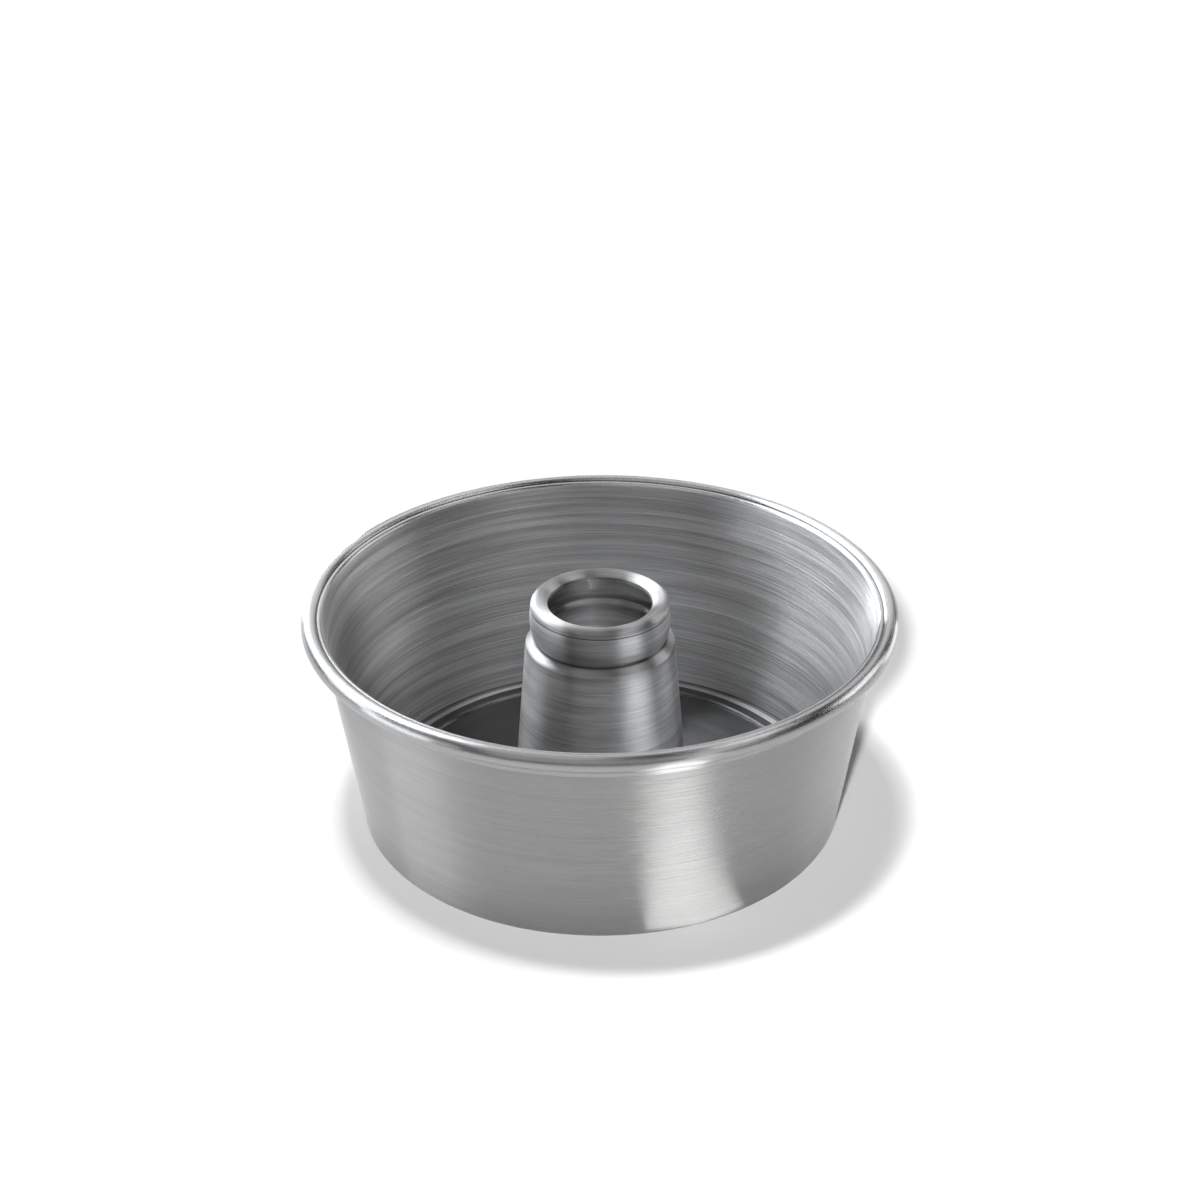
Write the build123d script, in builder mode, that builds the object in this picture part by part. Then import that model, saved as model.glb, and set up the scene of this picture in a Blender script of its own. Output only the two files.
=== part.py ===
from build123d import *
from math import atan2, cos, degrees, pi, radians, sin, sqrt, tan
import os

os.makedirs("parts", exist_ok=True)

# Two-piece angel food cake pan, spun from aluminium sheet. Lengths are millimetres.
# Z is the spinning axis, and the pan stands on Z = 0. Each piece is one sheet, so each
# profile is the line of its cake side, given its thickness to the right of that line.

# Sheet and fits
sheet = 1.5                # thickness of all three pieces
edge_break = 0.4           # the sheet's trimmed edges, broken on the lathe
lip_edge_break = 0.15      # the same at the hole in the tube's lip
sharp_bend = 0.4           # inside of a bend that is tight on the cake side
under_bend = 0.3           # inside of a bend that is tight on the other side

# Pan ring: wall, rolled rim and ledge
pan_height = 106.2         # base to the crest of the rolled rim
mouth_radius = 127.0       # inside of the wall, carried up to the crest
wall_draft = 15.7          # the wall's lean, from the ledge to the crest
roll_radius = 3.95         # outside of the rolled rim's roll
roll_offset = 1.9          # the roll outside the cake side of the wall
brow_bend = 0.5            # inside of the bend at the wall's top edge, below the roll's crest
brow_drop = 1.45           # that edge below the crest
tuck_radius = 0.6          # crease between the roll and the turned-down hem
hem_length = 5.9           # straight part of the hem under the roll
hem_gap = 0.2              # between the hem and the wall
corner_radius = 0.8        # inside bend between wall and ledge

# Bottom plate: flange on the ledge, sunk panel, raised seat round the tube
flange_play = 6.7          # the flange inside the foot of the wall
flange_width = 5.6         # from the flange's edge to where it turns down into the panel
step_run = 0.8             # width of the step down from the flange, and of the seat's step
seat_play = 0.6            # the sunk panel inside the ring's ledge
floor_lift = 0.3           # the sunk panel above the surface under the pan
seat_width = 7.0           # raised ring between the tube's neck and its step

# Centre tube: lip, collar, groove, shoulder, cone and seamed foot
tube_rise = 0.8            # top of the tube above the crest of the rim
tube_mouth_radius = 24.2   # hole in the lip
lip_width = 7.8            # from the hole to the lip's widest point
lip_outer_radius = 3.0     # the lip's curve from its top out to the collar
lip_slope = 40.0           # fall of the lip at the hole, in degrees
lip_wrap = 12.0            # how far the outer curve turns past upright, in degrees
collar_swell = 0.45        # the collar's belly outside the lip
collar_draw = 0.5          # the collar's lower end inside the lip, before its bend
collar_height = 17.2       # that end below the tube's top
groove_depth = 1.3         # the groove inside the collar's lower end, before its bend
groove_fall = 2.0          # the groove below that end
shoulder_step = 2.6        # the shoulder's edge outside the lip, before its bend
shoulder_fall = 2.7        # that edge below the groove
neck_radius = 40.6         # outside of the neck in the plate's hole
seam_play = 0.05           # the neck in the plate's hole
cone_stand = 0.4           # the cone's lower end outside the neck
bead_bend = 0.4            # inside of the bead that grips the plate from above
bead_lap = 1.4             # centre of that bead outside the neck
foot_lap = 5.0             # width of the foot turned out under the plate

# Worked out from these
wide_bend = sheet + under_bend
brow_radius = sheet + brow_bend
bead_radius = sheet + bead_bend
floor_radius = mouth_radius - wall_draft
flange_radius = floor_radius - flange_play
panel_radius = flange_radius - flange_width
ledge_top = sheet
flange_top = ledge_top + sheet
panel_top = floor_lift + sheet
seat_top = panel_top + sheet
tube_top = pan_height + tube_rise


def polar(centre, radius, angle):
    return (centre[0] + radius * cos(radians(angle)), centre[1] + radius * sin(radians(angle)))


def angle_from(centre, point):
    return degrees(atan2(point[1] - centre[1], point[0] - centre[0]))


top_side = degrees(pi / 2)     # direction of a curve's crest from its centre


# Pan ring
taper = atan2(mouth_radius - floor_radius, pan_height - ledge_top)
outward = (cos(taper), -sin(taper))
upward = (sin(taper), cos(taper))


def wall_inside(height):
    return floor_radius + (height - ledge_top) * tan(taper)


step_slope = atan2(flange_top - panel_top, step_run)
ledge_radius = panel_radius + sheet * tan(step_slope / 2) + seat_play

brow_height = pan_height - brow_drop
brow_centre_height = brow_height - brow_radius
brow_centre = (wall_inside(brow_centre_height) + brow_radius / cos(taper), brow_centre_height)
wall_top = (brow_centre[0] - brow_radius * outward[0], brow_centre[1] - brow_radius * outward[1])

roll_height = pan_height - roll_radius
roll_centre = (wall_inside(roll_height) + roll_offset + roll_radius, roll_height)
roll_start = (roll_centre[0] - sqrt(roll_radius**2 - (brow_height - roll_height)**2), brow_height)

# The tuck touches the roll from outside and the hem's outer face
hem_offset = 2 * sheet + hem_gap
tuck_reach = roll_radius + tuck_radius
tuck_line = wall_inside(roll_height) + (hem_offset + tuck_radius) / cos(taper)
tuck_side = (tuck_line - roll_centre[0]) * cos(taper)
tuck_fall = sqrt(tuck_reach**2 - tuck_side**2)
tuck_centre = (
    roll_centre[0] + tuck_side * outward[0] - tuck_fall * upward[0],
    roll_centre[1] + tuck_side * outward[1] - tuck_fall * upward[1],
)
hem_start = (tuck_centre[0] - tuck_radius * outward[0], tuck_centre[1] - tuck_radius * outward[1])
hem_end = (hem_start[0] - hem_length * upward[0], hem_start[1] - hem_length * upward[1])

roll_from = angle_from(roll_centre, roll_start)
roll_to = angle_from(roll_centre, tuck_centre)
tuck_from = angle_from(tuck_centre, roll_centre)
wall_side = degrees(atan2(-outward[1], -outward[0]))

with BuildPart() as pan_ring:
    with BuildSketch(Plane.XZ) as ring_section:
        with BuildLine():
            FilletPolyline(
                (ledge_radius, ledge_top),
                (floor_radius, ledge_top),
                wall_top,
                radius=corner_radius,
            )
            CenterArc(brow_centre, brow_radius, wall_side, top_side - wall_side)
            Line((brow_centre[0], brow_height), roll_start)
            CenterArc(roll_centre, roll_radius, roll_from, roll_to - roll_from)
            CenterArc(tuck_centre, tuck_radius, tuck_from, wall_side - tuck_from)
            Line(hem_start, hem_end)
            offset(amount=sheet, side=Side.RIGHT)
        make_face()
        ledge_corners = ring_section.vertices().sort_by(Axis.X)[:2]
        hem_corners = ring_section.vertices().sort_by_distance(hem_end)[:2]
        chamfer(ledge_corners + hem_corners, length=edge_break)
    revolve(axis=Axis.Z)
pan_ring.part.label = "pan_ring"
export_step(pan_ring.part, "parts/pan_ring.step")


# Bottom plate
hole_radius = neck_radius + seam_play
seat_radius = neck_radius + seat_width
plate_bends = [wide_bend, sharp_bend, sharp_bend, wide_bend]

with BuildPart() as bottom_plate:
    with BuildSketch(Plane.XZ) as plate_section:
        with BuildLine():
            FilletPolyline(
                (hole_radius, seat_top),
                (seat_radius, seat_top),
                (seat_radius + step_run, panel_top),
                (panel_radius - step_run, panel_top),
                (panel_radius, flange_top),
                (flange_radius, flange_top),
                radius=plate_bends,
            )
            offset(amount=sheet, side=Side.RIGHT)
        make_face()
        plate_corners = plate_section.vertices().sort_by(Axis.X)
        chamfer(plate_corners[:2] + plate_corners[-2:], length=edge_break)
    revolve(axis=Axis.Z)
bottom_plate.part.label = "bottom_plate"
export_step(bottom_plate.part, "parts/bottom_plate.step")


# Centre tube. The lip's curve runs on to upright, and the hole is then bored through it
lip_radius = tube_mouth_radius + lip_width
lip_inner_radius = (lip_width - lip_outer_radius) / sin(radians(lip_slope))
lip_centre = (lip_radius - lip_outer_radius, tube_top - lip_outer_radius)
lip_end = polar(lip_centre, lip_outer_radius, -lip_wrap)
inner_centre = (lip_centre[0], tube_top - lip_inner_radius)
collar_end = (lip_radius - collar_draw, tube_top - collar_height)
collar_middle = (lip_radius + collar_swell, (lip_end[1] + collar_end[1]) / 2)
groove = (collar_end[0] - groove_depth, collar_end[1] - groove_fall)
shoulder = (lip_radius + shoulder_step, groove[1] - shoulder_fall)

# The bead stands on the seat, and the cone comes down to its top
bead_centre = (neck_radius + bead_lap, seat_top + bead_radius)
cone_rise = sqrt(bead_radius**2 - (bead_lap - cone_stand)**2)
cone_foot = (neck_radius + cone_stand, bead_centre[1] + cone_rise)
cone_from = angle_from(bead_centre, cone_foot)
foot_radius = neck_radius + foot_lap

with BuildPart() as centre_tube:
    with BuildSketch(Plane.XZ) as tube_section:
        with BuildLine() as tube_line:
            CenterArc(inner_centre, lip_inner_radius, 2 * top_side, -top_side)
            CenterArc(lip_centre, lip_outer_radius, top_side, -top_side - lip_wrap)
            ThreePointArc(lip_end, collar_middle, collar_end)
            Polyline(collar_end, groove, shoulder, cone_foot)
            CenterArc(bead_centre, bead_radius, cone_from, -top_side - cone_from)
            FilletPolyline(
                (bead_centre[0], seat_top),
                (neck_radius, seat_top),
                (neck_radius, panel_top),
                (foot_radius, panel_top),
                radius=sharp_bend,
            )
            for corner, bend in (
                (collar_end, wide_bend),
                (groove, sharp_bend),
                (shoulder, wide_bend),
                (cone_foot, sharp_bend),
            ):
                fillet(tube_line.vertices().sort_by_distance(corner)[0], radius=bend)
            offset(amount=sheet, side=Side.RIGHT)
        make_face()
        with Locations((0, inner_centre[1])):
            Rectangle(2 * tube_mouth_radius, 2 * lip_inner_radius, mode=Mode.SUBTRACT)
        tube_corners = tube_section.vertices().sort_by(Axis.X)
        chamfer(tube_corners[:2], length=lip_edge_break)
        chamfer(tube_corners[-2:], length=edge_break)
    revolve(axis=Axis.Z)
centre_tube.part.label = "centre_tube"
export_step(centre_tube.part, "parts/centre_tube.step")

for piece in (pan_ring, bottom_plate, centre_tube):
    print(piece.part.label, round(piece.part.volume), piece.part.bounding_box(), piece.part.is_valid)
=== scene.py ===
import math

import bmesh
import bpy
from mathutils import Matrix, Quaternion, Vector


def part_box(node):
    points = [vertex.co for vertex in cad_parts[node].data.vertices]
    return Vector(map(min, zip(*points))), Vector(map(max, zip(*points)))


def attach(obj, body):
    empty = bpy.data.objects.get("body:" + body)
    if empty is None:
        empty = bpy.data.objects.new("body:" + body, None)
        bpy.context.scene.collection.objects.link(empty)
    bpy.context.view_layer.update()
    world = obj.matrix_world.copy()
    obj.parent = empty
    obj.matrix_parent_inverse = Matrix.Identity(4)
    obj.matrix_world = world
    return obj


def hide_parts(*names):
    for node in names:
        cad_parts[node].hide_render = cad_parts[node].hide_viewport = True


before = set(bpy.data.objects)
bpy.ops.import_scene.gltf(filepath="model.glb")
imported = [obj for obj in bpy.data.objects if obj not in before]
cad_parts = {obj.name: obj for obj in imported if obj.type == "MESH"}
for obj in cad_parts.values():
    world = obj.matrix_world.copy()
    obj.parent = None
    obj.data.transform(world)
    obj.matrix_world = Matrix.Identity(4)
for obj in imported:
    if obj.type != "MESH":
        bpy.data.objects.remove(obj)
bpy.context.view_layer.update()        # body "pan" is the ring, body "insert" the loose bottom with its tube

print("frame loaded:", len(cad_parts), "nodes")

mm = 0.001
crest = math.pi / 2      # direction of a curve's crest from its centre

# The sheet that all three pieces are spun from
sheet = {
    "thickness": 1.5 * mm,
    "edgeRound": 0.35 * mm,      # trimmed edges
    "holdingRow": 0.5 * mm,      # row of faces that keeps a bend's shading off the flat beside it
    "holdingShare": 0.3,         # such a row takes no more than this of a short run
    "bendStep": math.radians(7.5),
    "bendFaces": 3,              # at least, in a short bend
    "around": 240,               # faces round the axis
    "sameSpot": 0.002 * mm,      # places closer than this are one
}


# A section is walked along the cake side of the sheet. Each stop is its place and the way to the far side
def straight(walk, start, end, rows=0):
    run = end - start
    side = Vector((run.y, -run.x)).normalized()
    hold = min(sheet["holdingRow"] / run.length, sheet["holdingShare"])
    between = [row / (rows + 1) for row in range(1, rows + 1)]
    for share in [0.0, hold] + between + [1.0 - hold, 1.0]:
        walk.append((start + run * share, side))


# Goes round a centre from one angle to another, turning to the left or to the right
def bend(walk, centre, radius, start, stop, left):
    turn = (stop - start) % math.tau if left else -((start - stop) % math.tau)
    steps = max(sheet["bendFaces"], math.ceil(abs(turn) / sheet["bendStep"]))
    for step in range(steps + 1):
        out = heading(start + turn * step / steps)
        walk.append((centre + out * radius, out if left else -out))


# The same, from over one place to over another
def bendBetween(walk, centre, radius, first, last, left):
    bend(walk, centre, radius, angleFrom(centre, first), angleFrom(centre, last), left)


# Straight runs from corner to corner, with a bend of its own radius at each corner between the ends
def rounded(walk, corners, bends, rows):
    place = corners[0]
    for index, radius in enumerate(bends):
        before, corner, after = corners[index:index + 3]
        wayIn = (corner - before).normalized()
        wayOut = (after - corner).normalized()
        turn = math.atan2(wayIn.x * wayOut.y - wayIn.y * wayOut.x, wayIn.dot(wayOut))
        reach = radius * math.tan(abs(turn) / 2)
        start = corner - wayIn * reach
        inward = Vector((-wayIn.y, wayIn.x)) * math.copysign(1, turn)
        centre = start + inward * radius
        end = corner + wayOut * reach
        straight(walk, place, start, rows[index])
        bendBetween(walk, centre, radius, start, end, turn > 0)
        place = end
    straight(walk, place, corners[-1], rows[-1])


def heading(angle):
    return Vector((math.cos(angle), math.sin(angle)))


def angleFrom(centre, place):
    return math.atan2(place.y - centre.y, place.x - centre.x)


# Centre of a crease that touches a straight run on one side and a curve from outside
def creaseOnRun(place, way, toCentre, curveCentre, curveRadius, radius):
    foot = place + toCentre * radius
    gap = curveCentre - foot
    off = gap.dot(toCentre)
    return foot + way * (gap.dot(way) - math.sqrt((curveRadius + radius) ** 2 - off ** 2))


# Centre of a crease that touches two curves from outside, on their side away from the axis
def creaseOnCurves(centreA, radiusA, centreB, radiusB, radius):
    gap = centreB - centreA
    reachA, reachB = radiusA + radius, radiusB + radius
    along = (gap.length_squared + reachA ** 2 - reachB ** 2) / (2 * gap.length)
    way = gap.normalized()
    foot = centreA + way * along
    off = Vector((way.y, -way.x)) * math.sqrt(reachA ** 2 - along ** 2)
    return max(foot + off, foot - off, key=lambda place: place.x)


def circleThrough(a, b, c):
    ab, ac = b - a, c - a
    cross = 2 * (ab.x * ac.y - ab.y * ac.x)
    x = (ac.y * ab.length_squared - ab.y * ac.length_squared) / cross
    y = (ab.x * ac.length_squared - ac.x * ab.length_squared) / cross
    return a + Vector((x, y)), math.hypot(x, y)


def sides(walk):
    cakeSide = [place for place, side in walk]
    farSide = [place + side * sheet["thickness"] for place, side in walk]
    return cakeSide, farSide


# Closes a section and rounds the four corners of its two trimmed edges
def closeSection(cakeSide, farSide, edgeRound):
    corners = (cakeSide[0], cakeSide[-1], farSide[0], farSide[-1])
    loop = []
    for place in cakeSide + farSide[::-1]:
        if not loop or (place - loop[-1]).length > sheet["sameSpot"]:
            loop.append(place)
    finished = []
    for index, place in enumerate(loop):
        if not any((place - corner).length <= sheet["sameSpot"] for corner in corners):
            finished.append(place)
            continue
        back = (loop[index - 1] - place).normalized()
        ahead = (loop[(index + 1) % len(loop)] - place).normalized()
        half = back.angle(ahead) / 2
        centre = place + (back + ahead).normalized() * edgeRound / math.sin(half)
        reach = edgeRound / math.tan(half)
        start, end = place + back * reach, place + ahead * reach
        middle = centre + (place - centre).normalized() * edgeRound
        for a, b in ((start, middle), (middle, end)):
            finished += [a, centre + ((a + b) / 2 - centre).normalized() * edgeRound]
        finished.append(end)
    return finished


noiseSpan = (0.3, 0.7)       # nearly all values of a noise lie between these
evenSwing = (-0.5, 0.5)      # as much darker as brighter
acrossAxis = (1.0, 1.0, 0.0)  # leaves out a place's height


# Small helpers for node trees
def addNode(tree, kind, inputs=None, **settings):
    node = tree.nodes.new(kind)
    for key, value in settings.items():
        setattr(node, key, value)
    for key, value in (inputs or {}).items():
        if isinstance(value, bpy.types.NodeSocket):
            tree.links.new(value, node.inputs[key])
        else:
            node.inputs[key].default_value = value
    return node


# Adds a node and hands on its first output
def resultOf(tree, kind, inputs=None, **settings):
    return addNode(tree, kind, inputs, **settings).outputs[0]


def mathNode(tree, operation, a, b=0.0):
    return resultOf(tree, "ShaderNodeMath", {0: a, 1: b}, operation=operation)


def mapped(tree, value, low, high, fromLow=0.0, fromHigh=1.0):
    inputs = {"Value": value, "From Min": fromLow, "From Max": fromHigh, "To Min": low, "To Max": high}
    return resultOf(tree, "ShaderNodeMapRange", inputs)


# In a mix node, sockets 6 and 7 take the two colours, 2 and 3 the two numbers
def mixedTone(tree, factor, a, b):
    a, b = [tone if isinstance(tone, bpy.types.NodeSocket) else (*tone, 1.0) for tone in (a, b)]
    return addNode(tree, "ShaderNodeMix", {"Factor": factor, 6: a, 7: b}, data_type="RGBA").outputs[2]


def mixedValue(tree, factor, a, b):
    return resultOf(tree, "ShaderNodeMix", {"Factor": factor, 2: a, 3: b})


# The lathe: turns a section round the axis, with the slight unevenness of hand spinning
def makeLathe():
    tree = bpy.data.node_groups.new("lathe", "GeometryNodeTree")
    socket = tree.interface.new_socket
    socket(name="Section", in_out="INPUT", socket_type="NodeSocketGeometry")
    socket(name="Around", in_out="INPUT", socket_type="NodeSocketInt")
    for name in ("Base Radius", "Unevenness", "Waves", "Seed"):
        socket(name=name, in_out="INPUT", socket_type="NodeSocketFloat")
    socket(name="Finish", in_out="INPUT", socket_type="NodeSocketMaterial")
    socket(name="Piece", in_out="OUTPUT", socket_type="NodeSocketGeometry")
    given = addNode(tree, "NodeGroupInput").outputs
    section = resultOf(tree, "GeometryNodeMeshToCurve", {"Mesh": given["Section"]})
    circle = resultOf(
        tree, "GeometryNodeCurvePrimitiveCircle",
        {"Resolution": given["Around"], "Radius": given["Base Radius"]},
    )
    spun = resultOf(tree, "GeometryNodeCurveToMesh", {"Curve": circle, "Profile Curve": section})
    smooth = resultOf(tree, "GeometryNodeSetShadeSmooth", {"Geometry": spun, "Shade Smooth": True})
    place = resultOf(tree, "GeometryNodeInputPosition")
    flat = resultOf(tree, "ShaderNodeVectorMath", {0: place, 1: acrossAxis}, operation="MULTIPLY")
    outward = resultOf(tree, "ShaderNodeVectorMath", {0: flat}, operation="NORMALIZE")
    waves = resultOf(
        tree, "ShaderNodeTexNoise",
        {"Vector": place, "W": given["Seed"], "Scale": given["Waves"], "Detail": 1.0},
        noise_dimensions="4D",
    )
    inward = mathNode(tree, "MULTIPLY", given["Unevenness"], -1.0)
    depth = mathNode(tree, "MULTIPLY", waves, inward)
    shift = resultOf(tree, "ShaderNodeVectorMath", {0: outward, "Scale": depth}, operation="SCALE")
    uneven = resultOf(tree, "GeometryNodeSetPosition", {"Geometry": smooth, "Offset": shift})
    real = resultOf(tree, "GeometryNodeRealizeInstances", {"Geometry": uneven})
    finished = resultOf(tree, "GeometryNodeSetMaterial", {"Geometry": real, "Material": given["Finish"]})
    addNode(tree, "NodeGroupOutput", {"Piece": finished})
    return tree


def spin(name, loop, lathe, finish, piece):
    base = max(place.x for place in loop)
    points = [(place.x - base, -place.y, 0.0) for place in loop]
    edges = [(index, (index + 1) % len(points)) for index in range(len(points))]
    section = bpy.data.meshes.new(name + "Section")
    section.from_pydata(points, edges, [])
    spun = bpy.data.objects.new(name, section)
    bpy.context.collection.objects.link(spun)
    modifier = spun.modifiers.new("lathe", "NODES")
    modifier.node_group = lathe
    values = {
        "Around": sheet["around"],
        "Base Radius": base,
        "Unevenness": piece["unevenness"],
        "Waves": piece["waves"],
        "Seed": piece["seed"],
        "Finish": finish,
    }
    for socket in lathe.interface.items_tree:
        if socket.name in values:
            modifier[socket.identifier] = values[socket.name]
    mesh = bpy.data.meshes.new_from_object(spun.evaluated_get(bpy.context.evaluated_depsgraph_get()))
    spun.modifiers.clear()
    shape = bmesh.new()
    shape.from_mesh(mesh)
    bmesh.ops.recalc_face_normals(shape, faces=shape.faces)
    shape.to_mesh(mesh)
    shape.free()
    mesh.name = name
    spun.data = mesh
    print(name, "spun:", len(loop), "points in its section,", len(mesh.polygons), "faces")
    return spun


# Marks of the lathe: long streaks that run round the axis, narrow across it
marking = {
    "linesRound": 1.2,           # changes of a line on its way round, to those of a band
    "lineDetail": 2.0,
    "lineRoughness": 0.6,
    "bandDetail": 3.0,
    "bandRoughness": 0.68,
}


def makeSpinningMarks():
    tree = bpy.data.node_groups.new("spinningMarks", "ShaderNodeTree")
    socket = tree.interface.new_socket
    for name in ("Lines Per Metre", "Bands Per Metre", "Streaks Round", "Line Depth", "Band Depth", "Seed"):
        socket(name=name, in_out="INPUT", socket_type="NodeSocketFloat")
    for name in ("Lines", "Bands", "Height"):
        socket(name=name, in_out="OUTPUT", socket_type="NodeSocketFloat")
    given = addNode(tree, "NodeGroupInput").outputs
    place = addNode(tree, "ShaderNodeTexCoord").outputs["Object"]
    parts = addNode(tree, "ShaderNodeSeparateXYZ", {0: place}).outputs
    flat = resultOf(tree, "ShaderNodeCombineXYZ", {"X": parts["X"], "Y": parts["Y"]})
    radius = addNode(tree, "ShaderNodeVectorMath", {0: flat}, operation="LENGTH").outputs["Value"]
    turned = resultOf(tree, "ShaderNodeVectorMath", {0: flat}, operation="NORMALIZE")
    ways = addNode(tree, "ShaderNodeSeparateXYZ", {0: turned}).outputs

    def streaks(perMetre, around, detail, roughness):
        spot = resultOf(tree, "ShaderNodeCombineXYZ", {
            "X": mathNode(tree, "MULTIPLY", ways["X"], around),
            "Y": mathNode(tree, "MULTIPLY", ways["Y"], around),
            "Z": mathNode(tree, "MULTIPLY", parts["Z"], perMetre),
        })
        across = mathNode(tree, "ADD", mathNode(tree, "MULTIPLY", radius, perMetre), given["Seed"])
        return resultOf(
            tree, "ShaderNodeTexNoise",
            {"Vector": spot, "W": across, "Scale": 1.0, "Detail": detail, "Roughness": roughness},
            noise_dimensions="4D",
        )

    bandsRound = given["Streaks Round"]
    linesRound = mathNode(tree, "MULTIPLY", bandsRound, marking["linesRound"])
    lines = streaks(given["Lines Per Metre"], linesRound, marking["lineDetail"], marking["lineRoughness"])
    bands = streaks(given["Bands Per Metre"], bandsRound, marking["bandDetail"], marking["bandRoughness"])
    height = mathNode(
        tree, "ADD",
        mathNode(tree, "MULTIPLY", lines, given["Line Depth"]),
        mathNode(tree, "MULTIPLY", bands, given["Band Depth"]),
    )
    addNode(tree, "NodeGroupOutput", {"Lines": lines, "Bands": bands, "Height": height})
    return tree


# A part of the surface between two heights and two distances from the axis, which may lean with the wall
def makeZone():
    tree = bpy.data.node_groups.new("zone", "ShaderNodeTree")
    socket = tree.interface.new_socket
    for name in ("Low", "High", "Inner", "Outer", "Lean", "Fade"):
        socket(name=name, in_out="INPUT", socket_type="NodeSocketFloat")
    socket(name="Mask", in_out="OUTPUT", socket_type="NodeSocketFloat")
    given = addNode(tree, "NodeGroupInput").outputs
    place = addNode(tree, "ShaderNodeTexCoord").outputs["Object"]
    height = addNode(tree, "ShaderNodeSeparateXYZ", {0: place}).outputs["Z"]
    flat = resultOf(tree, "ShaderNodeVectorMath", {0: place, 1: acrossAxis}, operation="MULTIPLY")
    radius = addNode(tree, "ShaderNodeVectorMath", {0: flat}, operation="LENGTH").outputs["Value"]
    reach = mathNode(tree, "SUBTRACT", radius, mathNode(tree, "MULTIPLY", height, given["Lean"]))

    def window(value, low, high):
        above = mathNode(tree, "SUBTRACT", value, low)
        below = mathNode(tree, "SUBTRACT", high, value)
        return mathNode(tree, "MINIMUM", above, below)

    heights = window(height, given["Low"], given["High"])
    reaches = window(reach, given["Inner"], given["Outer"])
    inside = mathNode(tree, "DIVIDE", mathNode(tree, "MINIMUM", heights, reaches), given["Fade"])
    addNode(tree, "NodeGroupOutput", {"Mask": mapped(tree, inside, 0.0, 1.0)})
    return tree


# The zones of a finish, joined into one mask
def zoneMask(tree, zones):
    whole = None
    for zone in zones:
        values = {key.capitalize(): value for key, value in zone.items()}
        mask = addNode(tree, "ShaderNodeGroup", values, node_tree=zoneGroup).outputs["Mask"]
        whole = mathNode(tree, "MAXIMUM", whole, mask) if whole else mask
    return whole


# Bare aluminium as it comes off the lathe, with painted light and painted shade laid on by zone
def spunAluminium(name, marksGroup, finish):
    material = bpy.data.materials.new(name)
    material.use_nodes = True
    tree = material.node_tree
    tree.nodes.clear()
    marks = addNode(tree, "ShaderNodeGroup", {
        "Lines Per Metre": finish["linesPerMetre"],
        "Bands Per Metre": finish["bandsPerMetre"],
        "Streaks Round": finish["streaksRound"],
        "Line Depth": finish["lineDepth"],
        "Band Depth": finish["bandDepth"],
        "Seed": finish["seed"],
    }, node_tree=marksGroup).outputs
    burnishedAndPaintedLight = zoneMask(tree, finish["burnishedAndPaintedLight"])
    streaksAndPaintedLight = zoneMask(tree, finish["streaksAndPaintedLight"])
    lineContrast = mapped(tree, streaksAndPaintedLight, *finish["lineContrast"])
    bandContrast = mapped(tree, streaksAndPaintedLight, *finish["bandContrast"])
    lineSwing = mapped(tree, marks["Lines"], *evenSwing, *noiseSpan)
    bandSwing = mapped(tree, marks["Bands"], *evenSwing, *noiseSpan)
    lineTone = mathNode(tree, "MULTIPLY", lineSwing, lineContrast)
    bandTone = mathNode(tree, "MULTIPLY", bandSwing, bandContrast)
    shade = mathNode(tree, "ADD", mathNode(tree, "ADD", lineTone, bandTone), 1.0)
    # Painted light: the next zone raises the contrast of the spinning marks and gives lit and shaded copies
    # of the one aluminium, lighter or darker than the rest.
    tone = mixedTone(tree, streaksAndPaintedLight, finish["tone"], finish["streaksAndPaintedLightTone"])
    # Painted light on the smooth rolled edges: their tone is darker on the rim, lip and shoulder to hold
    # down highlights, and lighter on the plate's step as a painted highlight.
    tone = mixedTone(tree, burnishedAndPaintedLight, tone, finish["burnishedAndPaintedLightTone"])
    # Painted shade: dark bands in corners and creases and under trimmed edges.
    tone = mixedTone(tree, zoneMask(tree, finish["paintedShade"]), tone, finish["paintedShadeTone"])
    colour = resultOf(tree, "ShaderNodeVectorMath", {0: tone, "Scale": shade}, operation="SCALE")
    rough = mapped(tree, marks["Bands"], *finish["roughness"], *noiseSpan)
    rough = mixedValue(tree, burnishedAndPaintedLight, rough, finish["burnishedRoughness"])
    depth = mapped(tree, burnishedAndPaintedLight, 1.0, finish["burnishedLines"])
    height = mathNode(tree, "MULTIPLY", marks["Height"], depth)
    shader = resultOf(tree, "ShaderNodeBsdfPrincipled", {
        "Base Color": colour,
        "Roughness": rough,
        "Normal": resultOf(tree, "ShaderNodeBump", {"Height": height, "Distance": 1.0}),
        "Tangent": resultOf(tree, "ShaderNodeTangent", direction_type="RADIAL", axis="Z"),
        "Metallic": 1.0,
        "Anisotropic": finish["anisotropic"],
        "Anisotropic Rotation": finish["anisotropicTurn"],
    })
    addNode(tree, "ShaderNodeOutputMaterial", {"Surface": shader})
    return material


marksGroup = makeSpinningMarks()
zoneGroup = makeZone()
lathe = makeLathe()
print("lathe and spinning marks ready")


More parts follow.
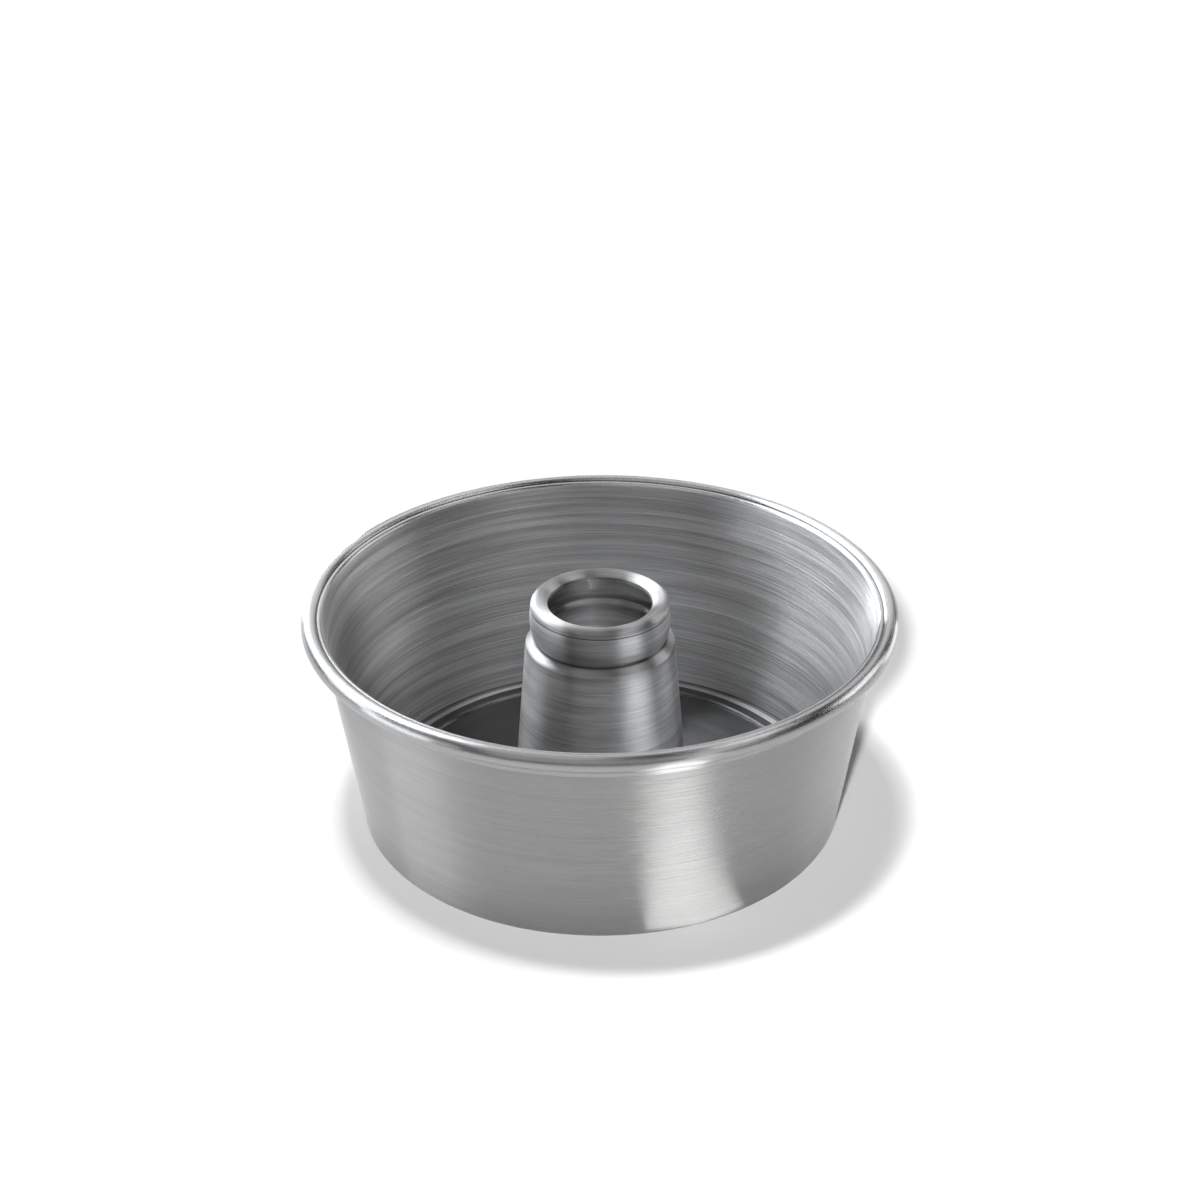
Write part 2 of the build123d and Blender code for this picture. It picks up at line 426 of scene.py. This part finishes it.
# Pan ring: wall, rolled rim with its hem, and the ledge that carries the bottom
ring = {
    "rimReach": 9.2 * mm,        # outside of the rim outside the mouth
    "wallDraft": 15.7 * mm,      # lean of the wall
    "rollRadius": 3.95 * mm,
    "browBend": 0.5 * mm,
    "browDrop": 1.45 * mm,
    "creaseBend": 0.35 * mm,     # between the wall's top edge and the roll
    "tuckBend": 0.6 * mm,
    "hemLength": 5.9 * mm,
    "hemGap": 0.2 * mm,
    "cornerBend": 0.8 * mm,
    "ledgeInset": 10.9 * mm,     # the ledge's edge inside the foot of the wall
    "ledgeRows": 2,
    "wallRows": 26,
    "hemRows": 2,
    "unevenness": 0.12 * mm,
    "waves": 14.0,
    "seed": 3.0,
}
# The ring's outside keeps a darker tone than its inside: painted light, lit and shaded copies of one
# aluminium
ringFinish = {
    "tone": (0.4, 0.398, 0.396),
    "streaksAndPaintedLightTone": (0.60, 0.60, 0.605),
    "burnishedAndPaintedLightTone": (0.4, 0.402, 0.407),
    "roughness": (0.33, 0.37),
    "linesPerMetre": 2600.0,
    "bandsPerMetre": 300.0,
    "streaksRound": 1.0,
    "lineContrast": (0.13, 0.45),
    "bandContrast": (0.12, 0.62),
    "lineDepth": 0.3 * mm,
    "bandDepth": 0.006 * mm,
    "anisotropic": 1.0,
    "anisotropicTurn": 0.25,
    "seed": 1.0,
    "burnishedRoughness": 0.23,
    "burnishedLines": 0.3,
    # Rolled rim, hem and brow top: smoother, with fewer lines, and a tone as dark as the outside, painted
    # shade that holds down their highlights
    "burnishedAndPaintedLight": [
        {"low": 91.0 * mm, "high": 110.0 * mm, "inner": 127.6 * mm, "outer": 140.0 * mm, "fade": 0.8 * mm},
        {"low": 103.6 * mm, "high": 110.0 * mm, "inner": 120.0 * mm, "outer": 140.0 * mm, "fade": 0.8 * mm},
    ],
    # Painted shade: dark bands in the corner at the ledge, in the creases beside the roll and under the
    # hem's trimmed edge
    "paintedShadeTone": (0.12, 0.12, 0.122),
    "paintedShade": [
        {"low": 0.9 * mm, "high": 2.6 * mm, "inner": 109.0 * mm, "outer": 112.0 * mm, "fade": 0.8 * mm},
        {"low": 104.5 * mm, "high": 105.2 * mm, "inner": 128.6 * mm, "outer": 129.7 * mm, "fade": 0.25 * mm},
        {"low": 98.2 * mm, "high": 99.2 * mm, "inner": 128.5 * mm, "outer": 130.4 * mm, "fade": 0.3 * mm},
        {"low": 91.6 * mm, "high": 92.9 * mm, "inner": 125.6 * mm, "outer": 127.4 * mm, "fade": 0.4 * mm},
    ],
    # The inside of the wall below the brow: stronger spinning marks and the lighter painted tone
    "streaksAndPaintedLight": [
        {
            "low": -1.0 * mm, "high": 104.6 * mm, "inner": 0.0, "outer": 111.9 * mm,
            "lean": 0.15, "fade": 0.3 * mm,
        },
    ],
}


def makeRing():
    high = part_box("pan_ring")[1]
    rimRadius, panHeight = high.x, high.z
    thickness = sheet["thickness"]
    floorRadius = rimRadius - ring["rimReach"] - ring["wallDraft"]
    taper = math.atan2(ring["wallDraft"], panHeight - thickness)
    outward = heading(-taper)
    upward = heading(crest - taper)
    wallSide = angleFrom(outward, Vector((0.0, 0.0)))

    def wallInside(height):
        return Vector((floorRadius + (height - thickness) * math.tan(taper), height))

    browHeight = panHeight - ring["browDrop"]
    browRadius = thickness + ring["browBend"]
    browCentre = wallInside(browHeight - browRadius) + Vector((browRadius / math.cos(taper), 0.0))
    rollRadius = ring["rollRadius"]
    rollCentre = Vector((rimRadius - rollRadius, panHeight - rollRadius))
    browTop = Vector((browCentre.x, browHeight))
    crease = creaseOnRun(browTop, heading(0.0), heading(crest), rollCentre, rollRadius, ring["creaseBend"])
    hemLine = wallInside(browHeight) + outward * (2 * thickness + ring["hemGap"])
    tuck = creaseOnRun(hemLine, upward, outward, rollCentre, rollRadius, ring["tuckBend"])
    hemStart = tuck - outward * ring["tuckBend"]

    walk = []
    ledgeEdge = Vector((floorRadius - ring["ledgeInset"], thickness))
    wallFoot = Vector((floorRadius, thickness))
    wallTop = browCentre - outward * browRadius
    wallRows = [ring["ledgeRows"], ring["wallRows"]]
    rounded(walk, [ledgeEdge, wallFoot, wallTop], [ring["cornerBend"]], wallRows)
    bend(walk, browCentre, browRadius, wallSide, crest, left=False)
    straight(walk, browTop, Vector((crease.x, browHeight)))
    bend(walk, crease, ring["creaseBend"], -crest, angleFrom(crease, rollCentre), left=True)
    bendBetween(walk, rollCentre, rollRadius, crease, tuck, left=False)
    bend(walk, tuck, ring["tuckBend"], angleFrom(tuck, rollCentre), wallSide, left=True)
    straight(walk, hemStart, hemStart - upward * ring["hemLength"], ring["hemRows"])
    loop = closeSection(*sides(walk), sheet["edgeRound"])
    finish = spunAluminium("ringAluminium", marksGroup, ringFinish)
    piece = spin("ringSheet", loop, lathe, finish, ring)
    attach(piece, "pan")
    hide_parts("pan_ring")


# Bottom plate: flange, sunk panel and the raised seat round the tube
plate = {
    "flangeWidth": 5.6 * mm,
    "stepRun": 0.8 * mm,
    "sharpBend": 0.4 * mm,       # tight on the cake side
    "underBend": 0.3 * mm,       # tight on the other side
    "seatWidth": 7.0 * mm,
    "footLap": 5.0 * mm,         # the tube's foot outside its neck, under the plate
    "seamPlay": 0.05 * mm,
    "seatRows": 2,
    "panelRows": 12,
    "flangeRows": 2,
    "unevenness": 0.05 * mm,
    "waves": 14.0,
    "seed": 7.0,
}
plateFinish = {
    "tone": (0.45, 0.45, 0.45),
    "streaksAndPaintedLightTone": (0.125, 0.125, 0.127),
    "burnishedAndPaintedLightTone": (0.15, 0.15, 0.15),
    "roughness": (0.21, 0.25),
    "linesPerMetre": 2600.0,
    "bandsPerMetre": 160.0,
    "streaksRound": 1.6,
    "lineContrast": (0.04, 0.16),
    "bandContrast": (0.04, 0.22),
    "lineDepth": 0.02 * mm,
    "bandDepth": 0.005 * mm,
    "anisotropic": 1.0,
    "anisotropicTurn": 0.25,
    "seed": 5.0,
    "burnishedRoughness": 0.3,
    "burnishedLines": 0.3,
    # The top of the step: smoother, and a little lighter than the plate around it, a painted highlight
    "burnishedAndPaintedLight": [
        {"low": 2.5 * mm, "high": 5.0 * mm, "inner": 98.6 * mm, "outer": 100.4 * mm, "fade": 0.4 * mm},
    ],
    # Painted shade: a dark band on the flange's outer edge
    "paintedShadeTone": (0.10, 0.10, 0.10),
    "paintedShade": [
        {"low": 1.0 * mm, "high": 2.8 * mm, "inner": 103.8 * mm, "outer": 106.0 * mm, "fade": 0.3 * mm},
    ],
    # Almost all of the plate: stronger spinning marks and a very dark tone, painted shade
    "streaksAndPaintedLight": [
        {"low": 0.5 * mm, "high": 5.0 * mm, "inner": 0.0, "outer": 112.0 * mm, "fade": 0.5 * mm},
    ],
}


def makePlate():
    low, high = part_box("bottom_plate")
    thickness = sheet["thickness"]
    flangeRadius, seatTop = high.x, high.z
    panelTop = low.z + thickness
    flangeTop = 2 * thickness
    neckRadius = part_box("centre_tube")[1].x - plate["footLap"]
    panelRadius = flangeRadius - plate["flangeWidth"]
    seatRadius = neckRadius + plate["seatWidth"]
    wide = thickness + plate["underBend"]
    corners = [
        Vector((neckRadius + plate["seamPlay"], seatTop)),
        Vector((seatRadius, seatTop)),
        Vector((seatRadius + plate["stepRun"], panelTop)),
        Vector((panelRadius - plate["stepRun"], panelTop)),
        Vector((panelRadius, flangeTop)),
        Vector((flangeRadius, flangeTop)),
    ]
    walk = []
    bends = [wide, plate["sharpBend"], plate["sharpBend"], wide]
    rounded(walk, corners, bends, [plate["seatRows"], 0, plate["panelRows"], 0, plate["flangeRows"]])
    loop = closeSection(*sides(walk), sheet["edgeRound"])
    finish = spunAluminium("plateAluminium", marksGroup, plateFinish)
    piece = spin("bottomSheet", loop, lathe, finish, plate)
    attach(piece, "insert")
    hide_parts("bottom_plate")


# Centre tube: turned-in lip, collar, groove, shoulder, cone, bead and foot
tube = {
    "mouthRadius": 24.2 * mm,
    "lipWidth": 7.8 * mm,
    "lipOuterRadius": 3.0 * mm,
    "lipSlope": math.radians(40.0),
    "lipWrap": math.radians(12.0),
    "lipEdgeRound": 0.15 * mm,
    "lipCrease": 0.5 * mm,       # between lip and collar
    "collarSwell": 0.45 * mm,
    "collarDraw": 0.5 * mm,
    "collarHeight": 17.2 * mm,
    "collarStop": 0.9 * mm,      # the collar's curve ends this far above its bend
    "grooveDepth": 1.3 * mm,
    "grooveFall": 2.0 * mm,
    "shoulderStep": 2.6 * mm,
    "shoulderFall": 2.7 * mm,
    "sharpBend": 0.4 * mm,
    "underBend": 0.3 * mm,
    "coneStand": 0.4 * mm,
    "beadBend": 0.4 * mm,
    "beadLap": 1.4 * mm,
    "footLap": 5.0 * mm,
    "shoulderRows": 1,
    "coneRows": 22,
    "footRows": 1,
    "unevenness": 0.08 * mm,
    "waves": 26.0,
    "seed": 11.0,
}
tubeFinish = {
    # Left on the collar's lower part: a darker tone, painted shade towards the groove
    "tone": (0.42, 0.42, 0.423),
    "streaksAndPaintedLightTone": (0.60, 0.60, 0.605),
    "burnishedAndPaintedLightTone": (0.36, 0.36, 0.364),
    "roughness": (0.29, 0.33),
    "linesPerMetre": 2600.0,
    "bandsPerMetre": 260.0,
    "streaksRound": 0.7,
    "lineContrast": (0.2, 0.44),
    "bandContrast": (0.2, 0.46),
    "lineDepth": 0.15 * mm,
    "bandDepth": 0.006 * mm,
    "anisotropic": 1.0,
    "anisotropicTurn": 0.25,
    "seed": 9.0,
    "burnishedRoughness": 0.4,
    "burnishedLines": 0.3,
    # Lip and shoulder: smoother, with fewer lines, and a darker tone, painted shade that holds down their
    # highlights
    "burnishedAndPaintedLight": [
        {"low": 103.8 * mm, "high": 112.0 * mm, "inner": 20.0 * mm, "outer": 40.0 * mm, "fade": 0.6 * mm},
        {"low": 84.0 * mm, "high": 89.0 * mm, "inner": 28.0 * mm, "outer": 40.0 * mm, "fade": 1.5 * mm},
    ],
    # Painted shade: dark bands in the crease under the lip and in the groove
    "paintedShadeTone": (0.12, 0.12, 0.122),
    "paintedShade": [
        {"low": 102.75 * mm, "high": 103.55 * mm, "inner": 31.0 * mm, "outer": 34.0 * mm, "fade": 0.3 * mm},
        {"low": 87.0 * mm, "high": 88.5 * mm, "inner": 29.6 * mm, "outer": 31.8 * mm, "fade": 0.5 * mm},
    ],
    # The cone, upper collar and mouth: stronger spinning marks and a lighter tone, painted light that fades
    # out down the collar
    "streaksAndPaintedLight": [
        {"low": 0.0, "high": 84.0 * mm, "inner": 0.0, "outer": 60.0 * mm, "fade": 4.0 * mm},
        {"low": 89.0 * mm, "high": 125.0 * mm, "inner": 0.0, "outer": 60.0 * mm, "fade": 9.0 * mm},
    ],
}


def makeTube():
    low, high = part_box("centre_tube")
    thickness = sheet["thickness"]
    tubeTop, footRadius = high.z, high.x
    panelTop = low.z + thickness
    seatTop = panelTop + thickness
    neckRadius = footRadius - tube["footLap"]
    wide = thickness + tube["underBend"]

    # The lip's curve in to the hole, on both faces of the sheet, which is bored upright
    lipRadius = tube["mouthRadius"] + tube["lipWidth"]
    lipReach = tube["lipWidth"] - tube["lipOuterRadius"]
    lipCurve = lipReach / math.sin(tube["lipSlope"])
    curveCentre = Vector((lipRadius - tube["lipOuterRadius"], tubeTop - lipCurve))
    lipFaces = []
    for radius in (lipCurve, lipCurve - thickness):
        walk = []
        bend(walk, curveCentre, radius, crest + math.asin(lipReach / radius), crest, left=False)
        lipFaces.append([place for place, side in walk])

    lipCentre = Vector((curveCentre.x, tubeTop - tube["lipOuterRadius"]))
    lipEnd = lipCentre + heading(-tube["lipWrap"]) * tube["lipOuterRadius"]
    collarEnd = Vector((lipRadius - tube["collarDraw"], tubeTop - tube["collarHeight"]))
    collarMiddle = Vector((lipRadius + tube["collarSwell"], (lipEnd.y + collarEnd.y) / 2))
    collarCentre, collarRadius = circleThrough(lipEnd, collarMiddle, collarEnd)
    crease = creaseOnCurves(lipCentre, tube["lipOuterRadius"], collarCentre, collarRadius, tube["lipCrease"])
    stop = angleFrom(collarCentre, collarEnd) + tube["collarStop"] / collarRadius
    collarLow = collarCentre + heading(stop) * collarRadius
    groove = collarEnd - Vector((tube["grooveDepth"], tube["grooveFall"]))
    shoulder = Vector((lipRadius + tube["shoulderStep"], groove.y - tube["shoulderFall"]))

    # The bead stands on the plate's seat, and the cone comes down to its top
    beadRadius = thickness + tube["beadBend"]
    beadCentre = Vector((neckRadius + tube["beadLap"], seatTop + beadRadius))
    coneRise = math.sqrt(beadRadius ** 2 - (tube["beadLap"] - tube["coneStand"]) ** 2)
    coneFoot = Vector((neckRadius + tube["coneStand"], beadCentre.y + coneRise))
    coneWay = (coneFoot - shoulder).normalized()
    coneSide = Vector((-coneWay.y, coneWay.x))
    coneCrease = creaseOnRun(shoulder, coneWay, coneSide, beadCentre, beadRadius, tube["sharpBend"])
    coneEnd = coneCrease - coneSide * tube["sharpBend"]

    walk = []
    bend(walk, lipCentre, tube["lipOuterRadius"], crest, angleFrom(lipCentre, crease), left=False)
    bendBetween(walk, crease, tube["lipCrease"], lipCentre, collarCentre, left=True)
    bend(walk, collarCentre, collarRadius, angleFrom(collarCentre, crease), stop, left=False)
    neckCorners = [collarLow, collarEnd, groove, shoulder, coneEnd]
    neckBends = [wide, tube["sharpBend"], wide]
    rounded(walk, neckCorners, neckBends, [0, 0, tube["shoulderRows"], tube["coneRows"]])
    bendBetween(walk, coneCrease, tube["sharpBend"], coneEnd, beadCentre, left=True)
    bend(walk, beadCentre, beadRadius, angleFrom(beadCentre, coneCrease), -crest, left=False)
    seamCorners = [
        Vector((beadCentre.x, seatTop)),
        Vector((neckRadius, seatTop)),
        Vector((neckRadius, panelTop)),
        Vector((footRadius, panelTop)),
    ]
    rounded(walk, seamCorners, [tube["sharpBend"], tube["sharpBend"]], [0, 0, tube["footRows"]])
    cakeSide, farSide = sides(walk)
    loop = closeSection(lipFaces[0] + cakeSide, lipFaces[1] + farSide, tube["lipEdgeRound"])
    finish = spunAluminium("tubeAluminium", marksGroup, tubeFinish)
    piece = spin("tubeSheet", loop, lathe, finish, tube)
    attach(piece, "insert")
    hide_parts("centre_tube")


makeRing()
makePlate()
makeTube()

# Camera, at the photograph's place
view = {
    "distance": 1.027,           # from the middle of the rim's top
    "elevation": math.radians(28.52),
    "roll": math.radians(-0.3),
    "lens": 67.4,
    "sensor": 36.0,
}


def makeCamera():
    aim = Vector((0.0, 0.0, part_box("pan_ring")[1].z))
    lens = bpy.data.cameras.new("photoLens")
    lens.lens = view["lens"]
    lens.sensor_width = view["sensor"]
    camera = bpy.data.objects.new("photoCamera", lens)
    bpy.context.collection.objects.link(camera)
    back = Vector((0.0, -math.cos(view["elevation"]), math.sin(view["elevation"])))
    camera.location = aim + back * view["distance"]
    turn = (-back).to_track_quat("-Z", "Y") @ Quaternion((0.0, 0.0, 1.0), view["roll"])
    camera.rotation_mode = "QUATERNION"
    camera.rotation_quaternion = turn
    bpy.context.scene.camera = camera


makeCamera()
print("camera placed")

# Pale floor. Its own glow fills up what the lamps leave short of white, so that only the shadow shows
floor = {
    "size": 60.0,
    "below": 0.1 * mm,           # clear of the underside
    "albedo": 0.8,
    "white": 1.01,
}
room = {
    "dark": 0.02,
    "paleUpTo": math.radians(1.2),    # the pale floor seems to go on this far above the horizon
    "fade": math.radians(0.6),
}

# Lamps that light the floor and throw the pan's shadow, each with its share of the floor's white
suns = {
    "frontLeft": {"azimuth": -11.0, "elevation": 31.0, "softness": 3.0, "share": 0.44},
    "overLeft": {"azimuth": -95.0, "elevation": 83.0, "softness": 5.0, "share": 0.32},
    "overBack": {"azimuth": -130.0, "elevation": 86.0, "softness": 5.0, "share": 0.18},
}


# 1 for rays from the camera, off shiny things or through clear ones, and 0 for those that only light
def seenRays(tree):
    path = addNode(tree, "ShaderNodeLightPath").outputs
    seen = mathNode(tree, "MAXIMUM", path["Is Camera Ray"], path["Is Glossy Ray"])
    return mathNode(tree, "MAXIMUM", seen, path["Is Transmission Ray"])


def makeFloor():
    mesh = bpy.data.meshes.new("floor")
    half = floor["size"] / 2
    level = -floor["below"]
    corners = [(x * half, y * half, level) for x, y in ((-1, -1), (1, -1), (1, 1), (-1, 1))]
    mesh.from_pydata(corners, [], [(0, 1, 2, 3)])
    piece = bpy.data.objects.new("floor", mesh)
    bpy.context.collection.objects.link(piece)
    material = bpy.data.materials.new("paleFloor")
    material.use_nodes = True
    tree = material.node_tree
    tree.nodes.clear()
    lit = resultOf(tree, "ShaderNodeBsdfDiffuse", {"Color": (floor["albedo"],) * 3 + (1.0,)})
    fill = floor["white"] - sum(sun["share"] for sun in suns.values()) - floor["albedo"] * room["dark"]
    strength = mathNode(tree, "MULTIPLY", seenRays(tree), fill)
    glow = resultOf(tree, "ShaderNodeEmission", {"Strength": strength})
    both = resultOf(tree, "ShaderNodeAddShader", {0: lit, 1: glow})
    addNode(tree, "ShaderNodeOutputMaterial", {"Surface": both})
    mesh.materials.append(material)


makeFloor()


# The way to a lamp. Azimuth is counted from the camera's side, plus to the right
def skyward(azimuth, elevation):
    flat = math.cos(math.radians(elevation))
    angle = math.radians(azimuth)
    return Vector((flat * math.sin(angle), -flat * math.cos(angle), math.sin(math.radians(elevation))))


def makeSuns():
    for name, sun in suns.items():
        lamp = bpy.data.lights.new(name, "SUN")
        lamp.energy = sun["share"] * math.pi / floor["albedo"] / math.sin(math.radians(sun["elevation"]))
        lamp.angle = math.radians(sun["softness"])
        piece = bpy.data.objects.new(name, lamp)
        piece.rotation_mode = "QUATERNION"
        piece.rotation_quaternion = skyward(sun["azimuth"], sun["elevation"]).to_track_quat("Z", "Y")
        piece.visible_glossy = False
        bpy.context.collection.objects.link(piece)


makeSuns()

# Soft boxes that the metal mirrors. Across and high are the angles that they fill, in degrees
softBoxes = {
    "rightLow": {"azimuth": 35.0, "elevation": 7.0, "across": 10.0, "high": 14.0, "strength": 2.2},
    "leftLow": {"azimuth": -75.0, "elevation": 7.0, "across": 30.0, "high": 14.0, "strength": 3.6},
    "backLeftLow": {"azimuth": -153.0, "elevation": 7.0, "across": 20.0, "high": 14.0, "strength": 12.0},
    "rightRearLow": {"azimuth": 130.0, "elevation": 7.0, "across": 20.0, "high": 14.0, "strength": 3.0},
    "backLeft": {"azimuth": -147.0, "elevation": 23.0, "across": 20.0, "high": 18.0, "strength": 5.6},
    "left": {"azimuth": -70.0, "elevation": 23.0, "across": 40.0, "high": 18.0, "strength": 1.2},
    "leftRear": {"azimuth": -107.0, "elevation": 30.0, "across": 28.0, "high": 16.0, "strength": 3.8},
    "right": {"azimuth": 50.0, "elevation": 40.0, "across": 30.0, "high": 20.0, "strength": 1.2},
    "rightRear": {"azimuth": 114.0, "elevation": 30.0, "across": 34.0, "high": 18.0, "strength": 3.4},
    "rightHigh": {"azimuth": 94.0, "elevation": 62.0, "across": 46.0, "high": 20.0, "strength": 2.4},
    "backLeftHigh": {"azimuth": -143.0, "elevation": 46.0, "across": 26.0, "high": 28.0, "strength": 14.0},
    "front": {"azimuth": 0.0, "elevation": 46.0, "across": 90.0, "high": 28.0, "strength": 0.8},
    "back": {"azimuth": 180.0, "elevation": 24.0, "across": 60.0, "high": 16.0, "strength": 1.2},
    "backHigh": {"azimuth": 180.0, "elevation": 46.0, "across": 40.0, "high": 28.0, "strength": 1.7},
    "top": {"azimuth": -90.0, "elevation": 78.0, "across": 110.0, "high": 30.0, "strength": 0.9},
}
coolBoxes = ("leftLow", "backLeftLow", "backLeft", "leftRear", "backLeftHigh")
coolLight = (0.94, 0.97, 1.0)
softBoxDistance = 2.0

# A bright card that lies on the floor, beside the photograph's right front
floorCard = {
    "azimuth": 22.5,
    "across": 15.0,
    "acrossAt": 0.19,            # how far from the axis it fills that angle
    "near": 0.113,
    "far": 0.5,
    "above": 1.0 * mm,
    "strength": 1.75,
}


def widthFor(angle, distance):
    return 2 * distance * math.tan(math.radians(angle / 2))


# A lamp that only the metal shows. Its strength is the brightness mirrored there
def makePanel(name, width, height, strength):
    lamp = bpy.data.lights.new(name, "AREA")
    lamp.shape = "RECTANGLE"
    lamp.size = width
    lamp.size_y = height
    lamp.energy = strength * math.pi * lamp.size * lamp.size_y
    panel = bpy.data.objects.new(name, lamp)
    panel.visible_camera = False
    panel.visible_diffuse = False
    bpy.context.collection.objects.link(panel)
    return panel


def makeSoftBoxes():
    for name, box in softBoxes.items():
        width = widthFor(box["across"], softBoxDistance) * math.cos(math.radians(box["elevation"]))
        height = widthFor(box["high"], softBoxDistance)
        panel = makePanel(name + "Box", width, height, box["strength"])
        if name in coolBoxes:
            panel.data.color = coolLight
        way = skyward(box["azimuth"], box["elevation"])
        panel.location = way * softBoxDistance
        panel.rotation_mode = "QUATERNION"
        panel.rotation_quaternion = way.to_track_quat("Z", "Y")


def makeFloorCard():
    width = widthFor(floorCard["across"], floorCard["acrossAt"])
    height = floorCard["far"] - floorCard["near"]
    panel = makePanel("rightCard", width, height, floorCard["strength"])
    middle = (floorCard["far"] + floorCard["near"]) / 2
    panel.location = skyward(floorCard["azimuth"], 0.0) * middle + Vector((0.0, 0.0, floorCard["above"]))
    panel.rotation_euler = (math.pi, 0.0, math.radians(floorCard["azimuth"]))


makeSoftBoxes()
makeFloorCard()


# The room is dark between the lamps, but white low down, where the floor would go on
def makeRoom():
    world = bpy.data.worlds.new("room")
    world.use_nodes = True
    tree = world.node_tree
    tree.nodes.clear()
    way = addNode(tree, "ShaderNodeTexCoord").outputs["Generated"]
    rise = addNode(tree, "ShaderNodeSeparateXYZ", {"Vector": way}).outputs["Z"]
    paleEnd = math.sin(room["paleUpTo"])
    darkStart = math.sin(room["paleUpTo"] + room["fade"])
    low = mapped(tree, rise, floor["white"], room["dark"], paleEnd, darkStart)
    strength = mathNode(tree, "MAXIMUM", mathNode(tree, "MULTIPLY", low, seenRays(tree)), room["dark"])
    air = resultOf(tree, "ShaderNodeBackground", {"Color": (1.0, 1.0, 1.0, 1.0), "Strength": strength})
    addNode(tree, "ShaderNodeOutputWorld", {"Surface": air})
    bpy.context.scene.world = world


makeRoom()
bpy.context.scene.view_settings.view_transform = "Standard"
print("floor and lights placed")
